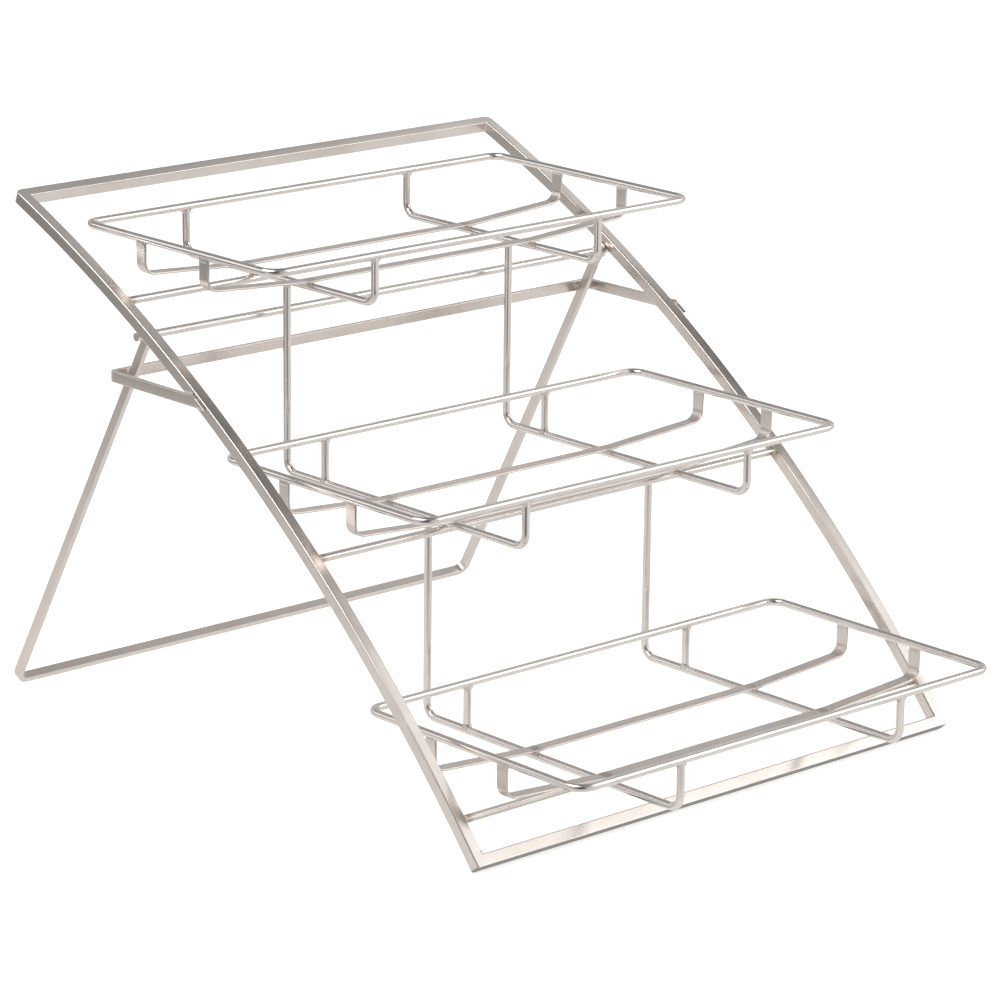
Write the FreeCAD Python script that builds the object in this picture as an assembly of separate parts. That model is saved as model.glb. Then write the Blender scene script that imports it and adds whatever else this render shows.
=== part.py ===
import FreeCAD, Part
import math
import os

# Three-tier bread rack for a counter. An arched, leaning frame of square bar carries three
# wire trays on cross rods, and stands on a folding rear leg that leans on a stop loop.
#
# X runs across the rack, Y to its back and Z up. The origin is on the counter, at the
# middle of the space that the rack takes up. The rack is the same left and right.

Vector = FreeCAD.Vector
ACROSS = Vector(1, 0, 0)
UP = Vector(0, 0, 1)

# ---- Driving dimensions, in millimetres and degrees ----

# Arched frame. Its front face is a cylinder about an axis along X, low behind the rack,
# and places on it are angles about that axis, from +Y.
rack_width = 380.6
rack_height = 315.4
bar_size = 7.5
arch_radius = 1087.0
arch_foot_angle = 140.35
foot_edge_y = -186.4
top_corner_radius = 4.5
foot_corner_radius = 1.5

# Cross rods, by their angle round the arch
rod_diameter = 5.0
top_rod_angle = 118.42
middle_rod_angle = 129.57
bottom_rod_angle = 138.78
pivot_rod_angle = 119.70

# Trays. Widths and depths are between the centre lines of the wires.
wire_diameter = 4.8
tray_width = 330.0
tray_depth = 177.0
tray_drop = 28.8
ring_corner_radius = 9.5
bearer_spacing = 177.4
bearer_bend_radius = 8.0
top_set_back = 63.8
middle_set_back = 106.2
bottom_set_back = 101.9
hanger_set_back = 35.5
cope_height = 1.0

# Flat strips of the tray floors
strip_width = 8.5
strip_thickness = 1.5
strip_bend_radius = 7.5
strip_end_rise = 5.0
strip_end_overhang = 1.4
rear_strip_inset = 56.9
front_strip_inset = 116.3

# Folding rear leg
leg_width = 6.4
leg_thickness = 3.4
leg_lean = 28.6
leg_splay = 4.4
leg_bend_radius = 6.3
leg_side_clearance = 0.4
eye_diameter = 9.6
pivot_clearance = 0.3

# Stop loop
stop_height = 6.6
stop_thickness = 3.2
stop_below_pivot = 26.9
stop_bend_radius = 3.4
stop_clearance = 0.2

# ---- Places worked out from them ----

half_width = rack_width / 2
inner_half_width = half_width - bar_size
rod_radius = rod_diameter / 2
wire_radius = wire_diameter / 2
# The lower back edge of the frame stands on the counter.
foot_edge_radius = arch_radius - bar_size
arch_y = foot_edge_y - foot_edge_radius * math.cos(math.radians(arch_foot_angle))
arch_z = -foot_edge_radius * math.sin(math.radians(arch_foot_angle))
arch_top_angle = 180 - math.degrees(math.asin((rack_height - arch_z) / arch_radius))


def on_arch(angle, depth, x=0.0):
    """Point at an angle round the arch, at a depth behind its front face."""
    radius = arch_radius - depth
    turn = math.radians(angle)
    return Vector(x, arch_y + radius * math.cos(turn), arch_z + radius * math.sin(turn))


def arch_sector(top_angle, foot_angle, front_depth, back_depth, half):
    """Arched block between two angles and two depths, reaching half each side of the middle."""
    middle_angle = (top_angle + foot_angle) / 2
    front = [on_arch(angle, front_depth, -half) for angle in (top_angle, middle_angle, foot_angle)]
    back = [on_arch(angle, back_depth, -half) for angle in (foot_angle, middle_angle, top_angle)]
    outline = Part.Wire([
        Part.Arc(*front).toShape(),
        Part.makeLine(front[-1], back[0]),
        Part.Arc(*back).toShape(),
        Part.makeLine(back[-1], front[0]),
    ])
    return Part.Face(outline).extrude(ACROSS * (2 * half))


# ---- Arched frame: a windowed band, rounded at its corners and mitred into four bars ----

def corner_edges(shape, angle):
    """The two outer edges of the frame that run from its front to its back at an angle."""
    middles = [on_arch(angle, bar_size / 2, side) for side in (-half_width, half_width)]
    return [min(shape.Edges, key=lambda edge: edge.CenterOfMass.distanceToPoint(middle)) for middle in middles]


def mitre_wedge(angle, inwards):
    """Wedge whose slanting sides are the mitres at both ends of a cross bar."""
    turn = math.radians(angle)
    outwards = Vector(0, math.cos(turn), math.sin(turn))
    along = Vector(0, -math.sin(turn), math.cos(turn)) * inwards
    start = on_arch(angle, bar_size * 2)
    corners = []
    for reach in (-bar_size, bar_size * 2):
        corners.append((half_width - reach, reach))
    (wide, near), (narrow, far) = corners
    outline = [
        start - ACROSS * wide + along * near,
        start + ACROSS * wide + along * near,
        start + ACROSS * narrow + along * far,
        start - ACROSS * narrow + along * far,
    ]
    face = Part.Face(Part.makePolygon(outline + outline[:1]))
    return face.extrude(outwards * (bar_size * 3))


def make_frame():
    bar_angle = math.degrees(bar_size / arch_radius)
    band = arch_sector(arch_top_angle, arch_foot_angle, 0, bar_size, half_width)
    window = arch_sector(arch_top_angle + bar_angle, arch_foot_angle - bar_angle,
                         -bar_size, bar_size * 2, inner_half_width)
    frame = band.cut(window)
    frame = frame.makeFillet(top_corner_radius, corner_edges(frame, arch_top_angle))
    frame = frame.makeFillet(foot_corner_radius, corner_edges(frame, arch_foot_angle))
    top_wedge = mitre_wedge(arch_top_angle, 1)
    foot_wedge = mitre_wedge(arch_foot_angle, -1)
    sides = sorted(frame.cut([top_wedge, foot_wedge]).Solids, key=lambda side: side.CenterOfMass.x)
    return {
        "frame_left_bar": sides[0],
        "frame_right_bar": sides[-1],
        "frame_top_bar": frame.common(top_wedge),
        "frame_bottom_bar": frame.common(foot_wedge),
    }


# ---- Cross rods ----

def make_rod(angle, depth, half):
    return Part.makeCylinder(rod_radius, 2 * half, on_arch(angle, depth, -half), ACROSS)


def make_rods():
    """Three tray rods butt against the side bars. The pivot rod lies across their backs."""
    tray_rod_angles = {
        "top_rod": top_rod_angle,
        "middle_rod": middle_rod_angle,
        "bottom_rod": bottom_rod_angle,
    }
    rods = {}
    for name, angle in tray_rod_angles.items():
        rods[name] = make_rod(angle, bar_size / 2, inner_half_width)
    rods["pivot_rod"] = make_rod(pivot_rod_angle, bar_size + rod_radius, half_width)
    return rods


# ---- Bent wire and flat bar ----

def bent_path(corners, radius, closed=False):
    """Straight runs through the corners, joined by tangent arcs."""
    count = len(corners)
    bends = range(count) if closed else range(1, count - 1)
    arcs = []
    for index in bends:
        corner = corners[index]
        back = (corners[index - 1] - corner).normalize()
        ahead = (corners[(index + 1) % count] - corner).normalize()
        half_turn = back.getAngle(ahead) / 2
        tangent_length = radius / math.tan(half_turn)
        inwards = (back + ahead).normalize()
        middle = corner + inwards * (radius / math.sin(half_turn) - radius)
        arcs.append((corner + back * tangent_length, middle, corner + ahead * tangent_length))
    stops = [arcs[-1][2]] if closed else [corners[0]]
    edges = []
    for start, middle, end in arcs:
        edges.append(Part.makeLine(stops[-1], start))
        edges.append(Part.Arc(start, middle, end).toShape())
        stops.append(end)
    if not closed:
        edges.append(Part.makeLine(stops[-1], corners[-1]))
    return Part.Wire(edges)


def path_start(path):
    first = path.OrderedEdges[0]
    return first.valueAt(first.FirstParameter), first.tangentAt(first.FirstParameter)


def bend_wire(corners, radius, closed=False):
    """Round wire bent through the corners."""
    path = bent_path(corners, radius, closed)
    start, heading = path_start(path)
    section = Part.Wire(Part.makeCircle(wire_radius, start, heading))
    return path.makePipeShell([section], True, False)


def bend_flat(corners, radius, width, thickness):
    """Flat bar bent the easy way, with its width square to the plane of the corners."""
    path = bent_path(corners, radius)
    start, heading = path_start(path)
    broad = heading.cross(corners[2] - corners[1]).normalize() * (width / 2)
    thin = heading.cross(broad).normalize() * (thickness / 2)
    outline = [start + broad + thin, start - broad + thin, start - broad - thin, start + broad - thin]
    section = Part.makePolygon(outline + outline[:1])
    return path.makePipeShell([section], True, False)


# ---- Trays ----

class Tier:
    """Levels and places of one tray, worked out from the rod that carries it."""

    def __init__(self, name, rod_angle, set_back):
        rod = on_arch(rod_angle, bar_size / 2)
        self.name = name
        self.bearer_z = rod.z + rod_radius + wire_radius
        self.ring_z = self.bearer_z + tray_drop
        self.rear_y = rod.y + set_back
        self.front_y = self.rear_y - tray_depth
        self.hanger_y = self.rear_y + hanger_set_back


def make_ring(tier):
    """Rim of the tray: one wire bent to a rounded rectangle and butt-welded."""
    side = tray_width / 2
    corners = [
        Vector(side, tier.rear_y, tier.ring_z),
        Vector(-side, tier.rear_y, tier.ring_z),
        Vector(-side, tier.front_y, tier.ring_z),
        Vector(side, tier.front_y, tier.ring_z),
    ]
    return bend_wire(corners, ring_corner_radius, closed=True)


def make_bearer(tier, ring, x, carrier_y, carrier_z, carrier):
    """Wire that falls from its carrier, runs forward under the tray and rises to the rim.

    Both ends are fish-mouthed round the wires that they are welded to.
    """
    corners = [
        Vector(x, carrier_y, carrier_z - cope_height),
        Vector(x, carrier_y, tier.bearer_z),
        Vector(x, tier.front_y, tier.bearer_z),
        Vector(x, tier.front_y, tier.ring_z - cope_height),
    ]
    return bend_wire(corners, bearer_bend_radius).cut([carrier, ring])


def make_post(tier, ring, bearer, x):
    """Upright from the bearer to the rim's rear wire, fish-mouthed at both ends."""
    length = tray_drop - 2 * cope_height
    foot = Vector(x, tier.rear_y, tier.bearer_z + cope_height)
    return Part.makeCylinder(wire_radius, length, foot, UP).cut([bearer, ring])


def make_strip(tier, ring, inset):
    """Flat strip across the bearers. Past them it slopes up a little, then turns up to the rim."""
    y = tier.rear_y - inset
    level_half = bearer_spacing / 2 + wire_radius
    end_side = tray_width / 2 + strip_end_overhang
    low_z = tier.bearer_z + wire_radius + strip_thickness / 2
    right = [
        Vector(level_half, y, low_z),
        Vector(end_side, y, low_z + strip_end_rise),
        Vector(end_side, y, tier.ring_z - cope_height),
    ]
    left = [Vector(-corner.x, y, corner.z) for corner in reversed(right)]
    return bend_flat(left + right, strip_bend_radius, strip_width, strip_thickness).cut(ring)


def make_trays():
    """The top tray's bearers rise to its own rim, and each lower tray hangs from the one above."""
    tiers = [
        Tier("top", top_rod_angle, top_set_back),
        Tier("middle", middle_rod_angle, middle_set_back),
        Tier("bottom", bottom_rod_angle, bottom_set_back),
    ]
    sides = {"left": -bearer_spacing / 2, "right": bearer_spacing / 2}
    trays = {}
    tier_above = None
    for tier in tiers:
        ring = make_ring(tier)
        trays[tier.name + "_ring"] = ring
        for side, x in sides.items():
            if tier_above is None:
                bearer = make_bearer(tier, ring, x, tier.rear_y, tier.ring_z, ring)
            else:
                carrier = trays[tier_above.name + "_" + side + "_bearer"]
                bearer = make_bearer(tier, ring, x, tier.hanger_y, tier_above.bearer_z, carrier)
                trays[tier.name + "_" + side + "_post"] = make_post(tier, ring, bearer, x)
            trays[tier.name + "_" + side + "_bearer"] = bearer
        trays[tier.name + "_rear_strip"] = make_strip(tier, ring, rear_strip_inset)
        trays[tier.name + "_front_strip"] = make_strip(tier, ring, front_strip_inset)
        tier_above = tier
    return trays


# ---- Rear leg and its stop ----

def make_leg():
    """Flat bar bent to a U that widens to its foot, whose lower edge meets the counter.

    Each upright ends in an eye, as flat as the upright, that turns on the pivot rod.
    """
    lean = math.radians(leg_lean)
    down = Vector(0, math.sin(lean), -math.cos(lean))
    top_side = inner_half_width - leg_side_clearance - leg_thickness / 2
    foot_side = top_side + leg_splay
    pivot = on_arch(pivot_rod_angle, bar_size + rod_radius)
    length = (pivot.z - leg_width / 2 * math.sin(lean)) / math.cos(lean)
    foot = pivot + down * (length - leg_thickness / 2)
    corners = [pivot - ACROSS * top_side, foot - ACROSS * foot_side,
               foot + ACROSS * foot_side, pivot + ACROSS * top_side]
    leg = bend_flat(corners, leg_bend_radius, leg_width, leg_thickness)
    broad = ACROSS.cross(down)
    eyes = []
    for top, bottom in (corners[:2], corners[:1:-1]):
        through = (bottom - top).cross(broad).normalize()
        eyes.append(Part.makeCylinder(eye_diameter / 2, leg_thickness, top - through * (leg_thickness / 2), through))
    bore = Part.makeCylinder(rod_radius + pivot_clearance, rack_width, pivot - ACROSS * half_width, ACROSS)
    return leg.fuse(eyes).cut(bore).removeSplitter()


def make_stop():
    """Level loop of flat bar on edge, its arms on the outer faces of the side bars.

    Its rear run holds the leg's back edges, and its arms end flush with the arch's front face.
    """
    lean = math.radians(leg_lean)
    pivot = on_arch(pivot_rod_angle, bar_size + rod_radius)
    z = pivot.z - stop_below_pivot
    contact_drop = stop_below_pivot + stop_height / 2
    leg_back_y = pivot.y + contact_drop * math.tan(lean) + leg_width / 2 / math.cos(lean)
    rear_y = leg_back_y + stop_clearance / math.cos(lean) + stop_thickness / 2
    arch_front_y = arch_y - math.sqrt(arch_radius ** 2 - (z - arch_z) ** 2)
    front_y = arch_front_y - bar_size
    side = half_width + stop_thickness / 2
    corners = [Vector(-side, front_y, z), Vector(-side, rear_y, z), Vector(side, rear_y, z), Vector(side, front_y, z)]
    loop = bend_flat(corners, stop_bend_radius, stop_height, stop_thickness)
    behind_front_face = Part.makeCylinder(arch_radius, rack_width + bar_size * 2,
                                          Vector(-half_width - bar_size, arch_y, arch_z), ACROSS)
    return loop.common(behind_front_face)


nodes = {}
nodes.update(make_frame())
nodes.update(make_rods())
nodes.update(make_trays())
nodes["rear_leg"] = make_leg()
nodes["stop_loop"] = make_stop()

os.makedirs("parts", exist_ok=True)
for name, shape in nodes.items():
    shape.exportStep("parts/" + name + ".step")
    print(name, len(shape.Solids), shape.isValid(), round(shape.Volume, 1))
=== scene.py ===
import math

import bpy
from mathutils import Matrix, Vector


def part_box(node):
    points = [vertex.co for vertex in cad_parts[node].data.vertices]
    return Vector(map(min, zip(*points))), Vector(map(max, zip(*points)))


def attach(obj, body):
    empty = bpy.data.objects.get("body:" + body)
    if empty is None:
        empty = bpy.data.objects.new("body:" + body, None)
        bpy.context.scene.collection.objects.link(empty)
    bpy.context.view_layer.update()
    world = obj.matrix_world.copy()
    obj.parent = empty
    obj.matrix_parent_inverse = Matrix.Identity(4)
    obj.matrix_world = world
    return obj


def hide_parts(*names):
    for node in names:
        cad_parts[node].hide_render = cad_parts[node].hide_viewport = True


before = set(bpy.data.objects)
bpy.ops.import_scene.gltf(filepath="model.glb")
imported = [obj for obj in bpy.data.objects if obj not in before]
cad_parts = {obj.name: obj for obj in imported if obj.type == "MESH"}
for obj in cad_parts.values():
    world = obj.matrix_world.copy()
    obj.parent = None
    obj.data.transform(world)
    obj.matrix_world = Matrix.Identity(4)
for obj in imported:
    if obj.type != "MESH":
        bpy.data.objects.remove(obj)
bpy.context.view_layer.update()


# Camera
# A long lens, left of the rack's front and a little above it, which keeps the rack's far
# side almost as large as its near side.
camera_place = Vector((-1.66848, -1.83413, 0.84103))
camera_turn = math.radians(-42.2375)
camera_tilt = math.radians(15.8307)
camera_roll = math.radians(0.6941)
camera_lens = 154.78
camera_sensor = 36.0

ahead = Vector((-math.sin(camera_turn) * math.cos(camera_tilt),
                math.cos(camera_turn) * math.cos(camera_tilt),
                -math.sin(camera_tilt)))
level_right = Vector((math.cos(camera_turn), math.sin(camera_turn), 0.0))
camera_right = (math.cos(camera_roll) * level_right
                + math.sin(camera_roll) * level_right.cross(ahead))
camera_up = camera_right.cross(ahead)
camera_data = bpy.data.cameras.new("camera")
camera_data.lens = camera_lens
camera_data.sensor_width = camera_sensor
camera = bpy.data.objects.new("camera", camera_data)
camera.matrix_world = (Matrix.Translation(camera_place)
                       @ Matrix((camera_right, camera_up, -ahead)).transposed().to_4x4())
bpy.context.scene.collection.objects.link(camera)
bpy.context.scene.camera = camera


# Arched frame
# Four square steel bars, the side ones rolled to one large radius, mitred and welded at the
# corners, where the welds are ground flush. The arrises are slightly rounded and the whole
# rack is plated in satin nickel.
tiers = ("top", "middle", "bottom")
bar_size = 0.0075
arch_radius = 1.087
arch_foot_angle = math.radians(140.35)
top_corner_radius = 0.0045
foot_corner_radius = 0.0015
corner_steps = 8
roll_steps = 56
flat_angle = math.radians(0.1)
cross_cuts = (-1.0, -0.5, 0.0, 0.5, 1.0)
corner_gap = 0.003
arris_radius = 0.0009
arris_steps = 3
arris_angle = math.radians(35)
closing_gap = 0.000002
mitre_blur = 0.0002
nickel = (0.76, 0.70, 0.66)
nickel_shade = (0.62, 0.56, 0.515)
nickel_roughness = 0.24
heat_tint = (0.40, 0.33, 0.255)
heat_reach = 0.008


class Shade:
    """A value or vector in a finish. Sums written with it add the nodes that work them out."""

    def __init__(self, finish, socket):
        self.finish = finish
        self.socket = socket

    def work(self, operation, *values):
        return self.finish.node("Math", dict(enumerate(values)), operation=operation)

    def __add__(self, other):
        return self.work("ADD", self, other)

    def __radd__(self, other):
        return self.work("ADD", other, self)

    def __sub__(self, other):
        return self.work("SUBTRACT", self, other)

    def __rsub__(self, other):
        return self.work("SUBTRACT", other, self)

    def __mul__(self, other):
        return self.work("MULTIPLY", self, other)

    def __rmul__(self, other):
        return self.work("MULTIPLY", other, self)

    def size(self):
        return self.work("ABSOLUTE", self)

    def least(self, other):
        return self.work("MINIMUM", self, other)

    def most(self, other):
        return self.work("MAXIMUM", self, other)

    def angle_over(self, other):
        """Angle whose rise is this value and whose run is the other."""
        return self.work("ARCTAN2", self, other)

    def rise(self, low, high):
        """Nothing below low, one above high, and a smooth rise between them."""
        values = {"Value": self, "From Min": low, "From Max": high}
        return self.finish.node("MapRange", values, interpolation_type="SMOOTHSTEP")


class Finish:
    """The nodes of a material or of the room, added one at a time."""

    def __init__(self, owner):
        self.owner = owner
        owner.use_nodes = True
        owner.node_tree.nodes.clear()

    def node(self, kind, values, output=0, **settings):
        """Adds a node, sets it up, and fills or links its sockets."""
        tree = self.owner.node_tree
        made = tree.nodes.new("ShaderNode" + kind)
        for name, setting in settings.items():
            setattr(made, name, setting)
        for name, value in values.items():
            if isinstance(value, Shade):
                tree.links.new(value.socket, made.inputs[name])
            else:
                made.inputs[name].default_value = value
        return Shade(self, made.outputs[output]) if made.outputs else made

    def split(self, vector):
        return [self.node("SeparateXYZ", {0: vector}, axis) for axis in "XYZ"]

    def place(self):
        """Where a point of the surface is on the rack."""
        return self.split(self.node("TexCoord", {}, "Object"))

    def noise(self, x, y, z, scale, detail):
        spot = self.node("CombineXYZ", {0: x, 1: y, 2: z})
        return self.node("TexNoise", {"Vector": spot, "Scale": scale, "Detail": detail})

    def blend(self, share, first, second):
        """A colour part of the way from the first to the second."""
        return self.node("Mix", {0: share, 6: first, 7: second}, 2, data_type="RGBA")


def rgba(colour):
    return (*colour, 1.0)


def plated_steel(name, bright, dull, roughness, grain, marks=(), drawn=1.0):
    """Satin nickel plate: drawing lines along the bar, soft clouds, fine pits, and the brown
    heat marks of welds. The lines and pits are as strong as drawn says."""
    line_length, line_width, line_detail = 9.0, 700.0, 3.0
    cloud_scale, cloud_detail, cloud_edge = 38.0, 3.0, (0.35, 0.70)
    tooth_scale, tooth_detail = 2200.0, 1.0
    pit_scale, pit_edge, pit_chance = 420.0, (0.06, 0.16), (0.86, 0.90)
    heat_share, heat_core, heat_spread, heat_clouds = 0.75, 0.35, 0.75, 0.5
    cloud_wear, line_wear, pit_wear = 0.3, 0.3, 0.6
    cloud_gloss, line_gloss, pit_gloss = 0.05, 0.08, 0.2
    line_height, tooth_height = 0.5, 0.1
    bump_strength, bump_depth = 0.12, 0.00002

    finish = Finish(bpy.data.materials.new(name))
    x, y, z = finish.place()
    along, across, depth = grain(finish, x, y, z)
    lines = finish.noise(along * line_length, across * line_width, depth * line_width,
                         1.0, line_detail)
    clouds = finish.noise(x, y, z, cloud_scale, cloud_detail)
    tooth = finish.noise(x, y, z, tooth_scale, tooth_detail)

    spot = finish.node("CombineXYZ", {0: x, 1: y, 2: z})
    cells = {"Vector": spot, "Scale": pit_scale}
    from_pit = finish.node("TexVoronoi", cells, "Distance")
    chance = finish.node("SeparateColor", {0: finish.node("TexVoronoi", cells, "Color")}, 0)
    pits = (1.0 - from_pit.rise(*pit_edge)) * chance.rise(*pit_chance)

    wear = clouds.rise(*cloud_edge) * cloud_wear + (lines * line_wear + pits * pit_wear) * drawn
    colour = finish.blend(wear.least(1.0), rgba(bright), rgba(dull))
    heat = None
    for centre in marks:
        away = finish.node("VectorMath", {0: spot, 1: centre}, "Value", operation="DISTANCE")
        away = away * (heat_spread + clouds * heat_clouds)
        near = 1.0 - away.rise(heat_reach * heat_core, heat_reach)
        heat = near if heat is None else heat.most(near)
    if heat is not None:
        colour = finish.blend(heat * heat_share, colour, rgba(heat_tint))

    gloss = (roughness - cloud_gloss + clouds * cloud_gloss
             + (lines * line_gloss + pits * pit_gloss) * drawn)
    height = (lines * line_height + tooth * tooth_height - pits) * drawn
    bump = {"Height": height, "Strength": bump_strength, "Distance": bump_depth}
    values = {"Base Color": colour, "Metallic": 1.0, "Roughness": gloss,
              "Normal": finish.node("Bump", bump)}
    finish.node("OutputMaterial", {"Surface": finish.node("BsdfPrincipled", values)})
    return finish.owner


def turned(share, x, other):
    """Grain along X, and its run across, which change places where share is one."""
    return share * other + (1.0 - share) * x, share * x + (1.0 - share) * other


def only(*pieces):
    """Selects these pieces and nothing else, with the first of them active."""
    bpy.ops.object.select_all(action="DESELECT")
    for piece in pieces:
        piece.select_set(True)
    bpy.context.view_layer.objects.active = pieces[0]


def apply_all(piece):
    only(piece)
    for modifier in list(piece.modifiers):
        bpy.ops.object.modifier_apply(modifier=modifier.name)


def round_arrises(piece, radius):
    """Rounds the long edges of a square or flat bar."""
    closed = piece.modifiers.new("closed", "WELD")
    closed.merge_threshold = closing_gap
    bevel = piece.modifiers.new("arrises", "BEVEL")
    bevel.width = radius
    bevel.segments = arris_steps
    bevel.limit_method = "ANGLE"
    bevel.angle_limit = arris_angle
    bevel.use_clamp_overlap = False
    bevel.harden_normals = False
    normals = piece.modifiers.new("normals", "WEIGHTED_NORMAL")
    normals.keep_sharp = False


def flat_outline(name, width, low, high):
    """Rectangle lying flat, from low to high along Y."""
    bpy.ops.mesh.primitive_plane_add(size=1, location=(0, (low + high) / 2, 0))
    outline = bpy.context.active_object
    outline.name = name
    outline.scale = (width, high - low, 1)
    bpy.ops.object.transform_apply(location=True, rotation=True, scale=True)
    return outline


def select_vertices(piece, chosen):
    """Goes into edit mode with only the chosen vertices selected."""
    only(piece)
    bpy.ops.object.mode_set(mode="EDIT")
    bpy.ops.mesh.select_mode(type="VERT")
    bpy.ops.mesh.select_all(action="DESELECT")
    bpy.ops.object.mode_set(mode="OBJECT")
    for vertex in piece.data.vertices:
        vertex.select = chosen(vertex.co)
    bpy.ops.object.mode_set(mode="EDIT")


def cut(place, way):
    """Cuts right through the piece in hand, and keeps both sides."""
    bpy.ops.mesh.select_all(action="SELECT")
    bpy.ops.mesh.bisect(plane_co=place, plane_no=way)


def middle_of(node):
    """Middle of a solid's box."""
    low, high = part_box(node)
    return (low + high) / 2


bar_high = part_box("frame_top_bar")[1]
half_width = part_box("frame_right_bar")[1].x
bar_face = half_width - bar_size
inner_radius = arch_radius - bar_size
arch_z = -inner_radius * math.sin(arch_foot_angle)
arch_top_angle = math.pi - math.asin((bar_high.z - arch_z) / arch_radius)
arch_y = bar_high.y - inner_radius * math.cos(arch_top_angle)
arch_length = arch_radius * (arch_foot_angle - arch_top_angle)

# The frame is laid out flat, as wide as the rack and as long as the arch, and then rolled.
arched_frame = flat_outline("arched_frame", 2 * half_width, 0, arch_length)
for at_top, radius in ((True, top_corner_radius), (False, foot_corner_radius)):
    select_vertices(arched_frame, lambda spot: (spot.y < arch_length / 2) == at_top)
    bpy.ops.mesh.bevel(offset=radius, segments=corner_steps, affect="VERTICES")
    bpy.ops.object.mode_set(mode="OBJECT")
window = flat_outline("window", 2 * bar_face, bar_size, arch_length - bar_size)
only(arched_frame, window)
bpy.ops.object.join()
bpy.ops.object.mode_set(mode="EDIT")
bpy.ops.mesh.select_all(action="SELECT")
bpy.ops.mesh.delete(type="ONLY_FACE")
bpy.ops.mesh.select_all(action="SELECT")
bpy.ops.mesh.fill()
for step in range(1, roll_steps):
    cut((0, arch_length * step / roll_steps, 0), (0, 1, 0))
bpy.ops.mesh.select_all(action="SELECT")
bpy.ops.mesh.extrude_region_move(TRANSFORM_OT_translate={"value": (0, 0, bar_size)})
bpy.ops.object.mode_set(mode="OBJECT")
for vertex in arched_frame.data.vertices:
    turn = arch_top_angle + vertex.co.y / arch_radius
    radius = arch_radius - vertex.co.z
    vertex.co = (vertex.co.x, arch_y + radius * math.cos(turn), arch_z + radius * math.sin(turn))
bpy.ops.object.mode_set(mode="EDIT")
bpy.ops.mesh.select_all(action="SELECT")
bpy.ops.mesh.normals_make_consistent(inside=False)
bpy.ops.mesh.dissolve_limited(angle_limit=flat_angle)

# Cuts across the two cross bars keep the light even along their arrises.
for share in cross_cuts:
    cut((share * (bar_face - corner_gap), 0, 0), (1, 0, 0))
bpy.ops.object.mode_set(mode="OBJECT")
bpy.ops.object.shade_smooth()
round_arrises(arched_frame, arris_radius)
apply_all(arched_frame)


def arched_grain(finish, x, y, z):
    """Grain along the side bars' arch, and along X in the two cross bars."""
    outwards = finish.node("CombineXYZ", {1: y - arch_y, 2: z - arch_z})
    depth = finish.node("VectorMath", {0: outwards}, "Value", operation="LENGTH")
    arc = ((z - arch_z).angle_over(y - arch_y) - arch_top_angle) * arch_radius
    from_end = arc.least(arch_length - arc)
    from_side = half_width - x.size()
    on_side = (from_end - from_side).rise(-mitre_blur, mitre_blur)
    return *turned(on_side, x, arc), depth


heat_marks = []
for tier in tiers:
    rod_middle = middle_of(tier + "_rod")
    heat_marks += [(end, rod_middle.y, rod_middle.z) for end in (-bar_face, bar_face)]
frame_finish = plated_steel("frame_nickel", nickel, nickel_shade, nickel_roughness,
                            arched_grain, heat_marks)
arched_frame.data.materials.clear()
arched_frame.data.materials.append(frame_finish)
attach(arched_frame, "rack")
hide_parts("frame_left_bar", "frame_right_bar", "frame_top_bar", "frame_bottom_bar")


# Cross rods
# Round steel rods, three cut to fit between the side bars under the trays and one laid
# across the backs of the bars for the leg to turn on. Their ends are welded.
rod_roughness = 0.24
rod_drawn = 0.12
bright_nickel = (0.80, 0.755, 0.725)


def straight(finish, x, y, z):
    """Grain of a piece that runs across the rack."""
    return x, y, z


def dress(nodes, material):
    """Puts a finish on solids whose shape stays as it is."""
    for node in nodes:
        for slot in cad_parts[node].material_slots:
            slot.material = material


rod_finish = plated_steel("rod_nickel", bright_nickel, nickel_shade, rod_roughness,
                          straight, heat_marks, rod_drawn)
dress(["top_rod", "middle_rod", "bottom_rod", "pivot_rod"], rod_finish)


# Tray rims
# One round steel wire for each tray, bent to a rounded rectangle and butt-welded in the
# back run. The bearers carry it by its front and back runs.
wire_roughness = 0.24
wire_drawn = 0.12
rim_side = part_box("top_ring")[1].x
rim_turn = (rim_side - 0.011, rim_side - 0.009)


def rim_grain(finish, x, y, z):
    """Grain along X in the front and back runs of a rim, and along Y in its sides."""
    return *turned(x.size().rise(*rim_turn), x, y), z


rim_finish = plated_steel("rim_nickel", bright_nickel, nickel_shade, wire_roughness,
                          rim_grain, drawn=wire_drawn)
dress([tier + "_ring" for tier in tiers], rim_finish)


# Bearer wires and posts
# Two wires under each tray, bent up to the rim in front. The lower trays' bearers also rise
# behind to the tray above, and short posts join them to the back of the rim.
def bearer_grain(finish, x, y, z):
    """Grain along Y, from the front of a tray to its back."""
    return y, x, z


bearer_finish = plated_steel("bearer_nickel", bright_nickel, nickel_shade, wire_roughness,
                             bearer_grain, drawn=wire_drawn)
for side in ("left", "right"):
    dress([tier + "_" + side + "_bearer" for tier in tiers], bearer_finish)
    dress(["middle_" + side + "_post", "bottom_" + side + "_post"], bearer_finish)


# Floor strips
# Flat steel strips laid across the bearers, two to a tray, with their ends turned up to the
# rim's side wires. They are welded where they cross the bearers and meet the rim.
strip_roughness = 0.34
strip_drawn = 0.25
strip_edge_radius = 0.0006
strip_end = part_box("top_rear_strip")[1].x
strip_turn = (strip_end - 0.008, strip_end - 0.003)


def strip_grain(finish, x, y, z):
    """Grain along X across the tray, and upright in the turned-up ends."""
    along, across = turned(x.size().rise(*strip_turn), x, z)
    return along, y, across


strip_finish = plated_steel("strip_nickel", nickel, nickel_shade, strip_roughness,
                            strip_grain, drawn=strip_drawn)
for tier in tiers:
    for strip in (tier + "_rear_strip", tier + "_front_strip"):
        dress([strip], strip_finish)
        round_arrises(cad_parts[strip], strip_edge_radius)


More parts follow.
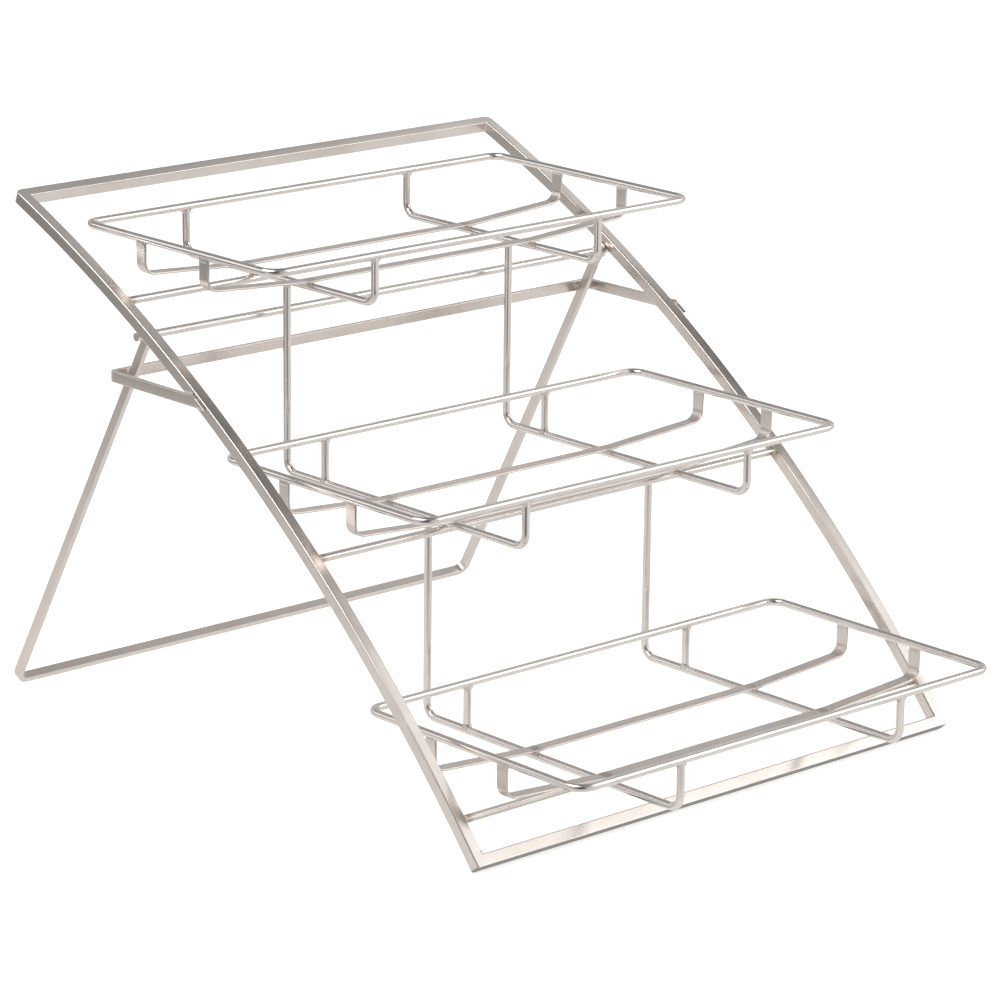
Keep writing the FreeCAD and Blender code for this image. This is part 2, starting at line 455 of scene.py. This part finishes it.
# Rear leg
# Flat steel bar bent to a U, with a punched eye at each top that turns on the pivot rod. It
# leans back against the stop, and its foot stands flat on the counter.
leg_edge_radius = 0.0005
leg_roughness = 0.38
leg_drawn = 0.6
leg_lean = math.radians(28.6)
foot_turn = (0.006, 0.011)


def leg_grain(finish, x, y, z):
    """Grain down the two sides, and along X in the foot."""
    down = y * math.sin(leg_lean) - z * math.cos(leg_lean)
    outwards = y * math.cos(leg_lean) + z * math.sin(leg_lean)
    along, across = turned(z.rise(*foot_turn), x, down)
    return along, outwards, across


leg_finish = plated_steel("leg_nickel", nickel, nickel_shade, leg_roughness,
                          leg_grain, drawn=leg_drawn)
dress(["rear_leg"], leg_finish)
round_arrises(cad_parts["rear_leg"], leg_edge_radius)


# Stop loop
# Flat steel bar on edge, bent to a level U round the frame and behind the leg, with its arms
# welded to the outsides of the side bars.
stop_edge_radius = 0.0005
arm_turn = (half_width - 0.002, half_width)


def stop_grain(finish, x, y, z):
    """Grain along Y in the arms, and along X behind the leg."""
    along, across = turned(x.size().rise(*arm_turn), x, y)
    return along, z, across


stop_finish = plated_steel("stop_nickel", nickel, nickel_shade, nickel_roughness, stop_grain)
dress(["stop_loop"], stop_finish)
round_arrises(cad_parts["stop_loop"], stop_edge_radius)


# Rim welds
# Beads where the bearers and posts are butted to the rims from below. Each kind of bead is
# melted together from short pieces of its joint, copied to every such joint, and plated.
bead_grit = 0.0003
bead_softening = 10
bead_softness = 0.5
bead_rise = 0.00035
stub_facets = 40
weld_roughness = 0.36
weld_shade = (0.40, 0.345, 0.30)
run_reach = 0.004
upright_reach = 0.006
collar_near = 0.0012
collar_far = 0.0034
collar_half_depth = 0.0018


def stub(way, radius, start, end, spot=(0, 0, 0)):
    """Short round bar along X, Y or Z, from start to end, past a spot."""
    turns = {"X": (0, math.pi / 2, 0), "Y": (math.pi / 2, 0, 0), "Z": (0, 0, 0)}
    middle = Vector(spot)
    middle["XYZ".index(way)] += (start + end) / 2
    bpy.ops.mesh.primitive_cylinder_add(vertices=stub_facets, radius=radius, depth=end - start,
                                        location=middle, rotation=turns[way])
    return bpy.context.active_object


def slab(half_length, half_depth, bottom, top, x=0.0):
    """Short flat bar, level and square to the joint."""
    low = Vector((x - half_length, -half_depth, bottom))
    high = Vector((x + half_length, half_depth, top))
    bpy.ops.mesh.primitive_cube_add(size=1, location=(low + high) / 2)
    block = bpy.context.active_object
    block.scale = high - low
    return block


def bead(name, *parts):
    """Melts short pieces of a joint together, so that only the bead stands out of the joint."""
    only(*parts)
    if len(parts) > 1:
        bpy.ops.object.join()
    bpy.ops.object.transform_apply(location=True, rotation=True, scale=True)
    melted = bpy.context.active_object
    melted.name = name
    fused = melted.modifiers.new("fused", "REMESH")
    fused.mode = "VOXEL"
    fused.voxel_size = bead_grit
    fused.use_smooth_shade = True
    softened = melted.modifiers.new("softened", "SMOOTH")
    softened.factor = bead_softness
    softened.iterations = bead_softening
    apply_all(melted)
    return melted


def weld(name, first, places, turn=0.0):
    """Copies a bead to every place, turned about X, as one piece that stays on the rack."""
    copies = []
    for place in places:
        copy = first.copy()
        copy.data = first.data.copy()
        copy.location = place
        copy.rotation_euler.x = turn
        bpy.context.scene.collection.objects.link(copy)
        copies.append(copy)
    bpy.data.objects.remove(first)
    only(*copies)
    bpy.ops.object.join()
    bpy.ops.object.transform_apply(location=True, rotation=True, scale=True)
    welds = bpy.context.active_object
    welds.name = name
    welds.data.materials.clear()
    welds.data.materials.append(weld_finish)
    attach(welds, "rack")


weld_finish = plated_steel("weld_nickel", nickel, weld_shade, weld_roughness, straight)
post_low, post_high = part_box("middle_left_post")
wire_radius = (post_high.x - post_low.x) / 2
bearer_side = (post_low.x + post_high.x) / 2
bearer_sides = (bearer_side, -bearer_side)
rings = {tier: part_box(tier + "_ring") for tier in tiers}

rim_joint = bead("rim_bead", stub("X", wire_radius, -run_reach, run_reach),
                 stub("Z", wire_radius, -upright_reach, 0),
                 slab(wire_radius + bead_rise, collar_half_depth, -collar_far, -collar_near))
rim_places = []
for low, high in rings.values():
    runs = (low.y + wire_radius, high.y - wire_radius)
    rim_places += [(side, run, high.z - wire_radius) for side in bearer_sides for run in runs]
weld("rim_welds", rim_joint, rim_places)


# Post and hanger welds
# Beads where the short posts stand on the bearers, and where the lower trays' bearers are
# butted from below to the bearers of the tray above.
bearers = {tier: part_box(tier + "_left_bearer") for tier in tiers}
post_joint = bead("post_bead", stub("Y", wire_radius, -run_reach, run_reach),
                  stub("Z", wire_radius, 0, upright_reach),
                  stub("Z", wire_radius + bead_rise, collar_near, collar_far))
hanger_joint = bead("hanger_bead", stub("Y", wire_radius, -run_reach, run_reach),
                    stub("Z", wire_radius, -upright_reach, 0),
                    stub("Z", wire_radius + bead_rise, -collar_far, -collar_near))
post_places = []
hanger_places = []
for above, below in zip(tiers, tiers[1:]):
    post_y = rings[below][1].y - wire_radius
    hanger_y = bearers[below][1].y - wire_radius
    post_z = bearers[below][0].z + wire_radius
    hanger_z = bearers[above][0].z + wire_radius
    post_places += [(side, post_y, post_z) for side in bearer_sides]
    hanger_places += [(side, hanger_y, hanger_z) for side in bearer_sides]
weld("post_welds", post_joint, post_places)
weld("hanger_welds", hanger_joint, hanger_places)


# Saddle welds
# Beads in the corners where the bearers lie across the tray rods, which carry the weight of
# the trays.
saddle_half_height = 0.0018
pivot_low, pivot_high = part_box("pivot_rod")
rod_radius = (pivot_high.z - pivot_low.z) / 2
rod_joint = bead("rod_bead", stub("X", rod_radius, -run_reach, run_reach),
                 stub("Y", wire_radius, -run_reach, run_reach, (0, 0, rod_radius + wire_radius)),
                 stub("Z", wire_radius - 2 * bead_rise, rod_radius - saddle_half_height,
                      rod_radius + saddle_half_height))
saddle_places = []
for tier in tiers:
    rod_middle = middle_of(tier + "_rod")
    saddle_places += [(side, rod_middle.y, rod_middle.z) for side in bearer_sides]
weld("rod_welds", rod_joint, saddle_places)


# Rod end welds
# Fillets of weld round the ends of the tray rods, where the rods are cut square and butted to
# the inner faces of the side bars.
fillet_root = (0.0001, 0.003)
fillet_root_radius = 0.0034
fillet = (-0.0013, 0.0004)
for name, outwards in (("right_rod_ends", 1), ("left_rod_ends", -1)):
    rod_part, bar_part, fillet_part = [sorted(outwards * reach for reach in part) for part in
                                       ((-run_reach, 0.0), fillet_root, fillet)]
    end_joint = bead(name, stub("X", rod_radius, *rod_part),
                     stub("X", fillet_root_radius, *bar_part),
                     stub("X", rod_radius + bead_rise, *fillet_part))
    end_places = []
    for tier in tiers:
        rod_middle = middle_of(tier + "_rod")
        end_places.append((outwards * bar_face, rod_middle.y, rod_middle.z))
    weld(name, end_joint, end_places)


# Pivot rod welds
# Beads between the pivot rod and the backs of the side bars that it is laid on, turned square
# to the arch.
pivot_reach = 0.003
seat_half_depth = 0.0034
seat_low = 0.0001
seat_high = 0.002
pivot_bead_reach = 0.0027
pivot_bead_half_depth = 0.0019
pivot_bead_low = 0.0002
pivot_bead_high = 0.0006
pivot_middle = middle_of("pivot_rod")
pivot_turn = math.atan2(pivot_middle.z - arch_z, pivot_middle.y - arch_y) - math.pi / 2
pivot_joint = bead("pivot_bead", stub("X", rod_radius, -pivot_reach, pivot_reach),
                   slab(pivot_reach, seat_half_depth,
                        rod_radius + seat_low, rod_radius + seat_high),
                   slab(pivot_bead_reach, pivot_bead_half_depth,
                        pivot_bead_low, rod_radius + pivot_bead_high))
bar_middle = half_width - bar_size / 2
pivot_places = [(x, pivot_middle.y, pivot_middle.z) for x in (-bar_middle, bar_middle)]
weld("pivot_welds", pivot_joint, pivot_places, pivot_turn)


# Stop arm welds
# Thin beads along the upper and lower edges of the stop's arms, where they lie on the outsides
# of the side bars.
stop_bead_radius = 0.0012
stop_bead_reach = 0.0038
stop_bead_height = 0.0002
stop_bead_out = 0.0003
stop_low, stop_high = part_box("stop_loop")
stop_joint = bead("stop_bead", stub("Y", stop_bead_radius, -stop_bead_reach, stop_bead_reach))
bar_middle_radius = arch_radius - bar_size / 2
stop_x = half_width + stop_bead_out
stop_places = []
for stop_z in (stop_low.z - stop_bead_height, stop_high.z + stop_bead_height):
    stop_y = arch_y - math.sqrt(bar_middle_radius ** 2 - (stop_z - arch_z) ** 2)
    stop_places += [(-stop_x, stop_y, stop_z), (stop_x, stop_y, stop_z)]
weld("stop_welds", stop_joint, stop_places)


# Strip welds
# Beads where the floor strips lie across the bearers and are welded down to them, one at each
# crossing.
strip_thickness = 0.0015
strip_reach = 0.005
wire_margin = 0.003
strip_bead_reach = 0.0017
strip_bead_margin = 0.001
strip_bead_low = 0.0016
strip_bead_high = 0.0004
strips = [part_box(tier + "_" + row + "_strip") for tier in tiers for row in ("rear", "front")]
half_strip = (strips[0][1].y - strips[0][0].y) / 2
strip_joint = bead("strip_bead",
                   slab(strip_reach, half_strip, wire_radius, wire_radius + strip_thickness),
                   stub("Y", wire_radius, -half_strip - wire_margin, half_strip + wire_margin),
                   slab(strip_bead_reach, half_strip - strip_bead_margin,
                        wire_radius - strip_bead_low, wire_radius + strip_bead_high))
strip_places = []
for low, high in strips:
    strip_places += [(side, (low.y + high.y) / 2, low.z - wire_radius) for side in bearer_sides]
weld("strip_welds", strip_joint, strip_places)


# Strip end welds
# Beads where the turned-up ends of the strips are butted from below to the side wires of the
# rims.
side_wire_reach = 0.0065
end_part = (-0.006, -0.001)
end_bead = (-0.0034, -0.0016)
end_bead_half_depth = 0.003
half_thickness = strip_thickness / 2
rim_wire_x = rings["top"][1].x - wire_radius
end_shift = strips[0][1].x - half_thickness - rim_wire_x
for name, outwards in (("right_end_welds", 1), ("left_end_welds", -1)):
    end_x = outwards * end_shift
    end_joint = bead(name, stub("Y", wire_radius, -side_wire_reach, side_wire_reach),
                     slab(half_thickness, half_strip, *end_part, end_x),
                     slab(half_thickness + bead_rise, end_bead_half_depth, *end_bead, end_x))
    end_places = []
    for tier in tiers:
        wire_z = rings[tier][1].z - wire_radius
        for row in ("rear", "front"):
            strip_y = middle_of(tier + "_" + row + "_strip").y
            end_places.append((outwards * (rings[tier][1].x - wire_radius), strip_y, wire_z))
    weld(name, end_joint, end_places)


# Table and surroundings
# A pale table in a pale room. What the metal mirrors of the table is painted light: a glow
# seen only in mirrors, which fades to the left of the rack and towards the room's dark corner in
# front.
table_size = 9.0
table_cuts = 4
table_colour = (0.86, 0.855, 0.85)
mirrored_colour = (1.0, 0.985, 0.97)
white = (1.0, 1.0, 1.0)
table_glow = 0.62
lit_level = 0.90
dim_level = 0.26
dark_way = Vector((-0.63725, -0.70052, 0.32122))
dark_depth = 0.5
front_fade = (0.22, 0.62)
side_fade = (0.15, 0.55)
left_fade = (0.30, 1.0)
back_fade = (-0.1, 0.4)
# Painted shadow along the foot of the bottom bar, in what the metal mirrors of the table.
painted_foot_shadow_edge = (0.004, 0.012)
painted_foot_shadow_end = 0.006
painted_foot_shadow_depth = 0.6


def rays(finish):
    """Whether a surface is seen straight, in a mirror or through something clear."""
    return [finish.node("LightPath", {}, ray) for ray in
            ("Is Camera Ray", "Is Glossy Ray", "Is Transmission Ray")]


bpy.ops.mesh.primitive_grid_add(x_subdivisions=table_cuts, y_subdivisions=table_cuts,
                                size=table_size)
table = bpy.context.active_object
table.name = "table"
table_finish = Finish(bpy.data.materials.new("table_paint"))
seen, mirrored, through = rays(table_finish)
x, y, z = table_finish.place()
into_dark = x * dark_way.x + y * dark_way.y
beside_dark = (x * dark_way.y - y * dark_way.x).size()
dark = into_dark.rise(*front_fade) * (1.0 - beside_dark.rise(*side_fade))
lit = (1.0 - (x * -1.0).rise(*left_fade) * y.rise(*back_fade)) * (1.0 - dark)
unlit_level = dim_level * (1.0 - dark * dark_depth)
# Painted shadow: the mirrored table is darkened in a narrow band along the bottom bar's foot.
foot_gap = (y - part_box("frame_bottom_bar")[0].y).size()
past_end = x.size().rise(half_width, half_width + painted_foot_shadow_end)
painted_foot_shadow = (1.0 - foot_gap.rise(*painted_foot_shadow_edge)) * (1.0 - past_end)
# Painted light: how bright the table looks in the metal, lit on the right and dim elsewhere.
painted_mirror_level = unlit_level + (lit_level - unlit_level) * lit
painted_mirror_level = painted_mirror_level * (1.0 - painted_foot_shadow * painted_foot_shadow_depth)
paint = table_finish.node("BsdfDiffuse", {"Color": rgba(table_colour)})
glow = table_finish.node("Emission", {"Color": rgba(white),
                                      "Strength": (seen + through) * table_glow})
painted_mirror_light = table_finish.node("Emission", {"Color": rgba(mirrored_colour),
                                             "Strength": painted_mirror_level})
plain = table_finish.node("AddShader", {0: paint, 1: glow})
surface = table_finish.node("MixShader", {0: mirrored, 1: plain, 2: painted_mirror_light})
table_finish.node("OutputMaterial", {"Surface": surface})
table.data.materials.append(table_finish.owner)

# The room is white to the eye. In the metal it is brighter overhead than at the skirting,
# with a dark seam along the ceiling and dusk on the left and in two corners.
room_light = 0.62
skirting_level = 0.25
wall_rise = (0.02, 0.2)
wall_gain = 0.68
ceiling_rise = (0.35, 0.6)
ceiling_loss = 0.4
seam_width = (0.03, 0.17)
seam_height = (0.45, 0.65)
seam_depth = 0.9
dusk_width = (0.25, 0.6)
dusk_height = (0.3, 0.5)
dusk_depth = 0.4
far_way = (0.647, 0.712, 0.273)
far_spread = (0.80, 0.96)
far_depth = 0.36
dark_spread = (0.80, 0.93)
dark_corner_depth = 0.85

world = bpy.data.worlds.new("room")
bpy.context.scene.world = world
room = Finish(world)
seen, mirrored, through = rays(room)
rightness, backness, height = room.split(room.node("TexCoord", {}, "Generated"))


def corner(way, spread):
    """One towards a corner of the room, and nothing away from it."""
    return (rightness * way[0] + backness * way[1] + height * way[2]).rise(*spread)


seam = (1.0 - backness.size().rise(*seam_width)) * height.rise(*seam_height)
dusk = (1.0 - rightness.rise(*dusk_width)) * height.rise(*dusk_height)
room_level = (skirting_level + height.rise(*wall_rise) * wall_gain
              - height.rise(*ceiling_rise) * ceiling_loss)
for shadow, depth in ((seam, seam_depth), (dusk, dusk_depth),
                      (corner(far_way, far_spread), far_depth),
                      (corner(dark_way, dark_spread), dark_corner_depth)):
    room_level = room_level * (1.0 - shadow * depth)
in_metal = mirrored.most(through)
unseen_level = in_metal * room_level + (1.0 - in_metal) * room_light
walls = room.node("Background", {"Color": rgba(white),
                                 "Strength": seen + (1.0 - seen) * unseen_level})
room.node("OutputWorld", {"Surface": walls})


# Lamps
# Five soft lamps aimed at the rack: a large and a small one in front on the right, a small one
# behind on the left, one high on the right, and a long, strong one high on the left.
rack_middle = Vector((0, 0, 0.15))
warm_white = (1.0, 0.99, 0.975)
cool_white = (0.95, 0.975, 1.0)


def add_lamp(name, way, distance, size, level, colour):
    """Soft lamp aimed at the rack from a way off. Its level is what a mirror shows of it."""
    data = bpy.data.lights.new(name, "AREA")
    data.shape = "RECTANGLE"
    data.size, data.size_y = size
    data.energy = level * math.pi * size[0] * size[1]
    data.color = colour
    lamp = bpy.data.objects.new(name, data)
    place = rack_middle + Vector(way).normalized() * distance
    aim = Vector(way).to_track_quat("Z", "Y").to_matrix().to_4x4()
    lamp.matrix_world = Matrix.Translation(place) @ aim
    bpy.context.scene.collection.objects.link(lamp)


add_lamp("key_lamp", way=(0.647, -0.61, 0.46), distance=2.2, size=(1.6, 2.0),
         level=0.75, colour=warm_white)
add_lamp("low_lamp", way=(0.647, -0.65, 0.40), distance=2.1, size=(0.55, 0.35),
         level=3.0, colour=white)
add_lamp("back_lamp", way=(-0.55, 0.71, 0.44), distance=2.2, size=(0.7, 0.7),
         level=0.65, colour=cool_white)
add_lamp("right_lamp", way=(1.40, 0.60, 1.35), distance=2.05, size=(0.7, 0.7),
         level=0.37, colour=warm_white)
add_lamp("side_lamp", way=(-0.60, 0.03, 0.79), distance=2.2, size=(2.2, 0.9),
         level=4.2, colour=white)

view_settings = bpy.context.scene.view_settings
view_settings.view_transform = "Standard"
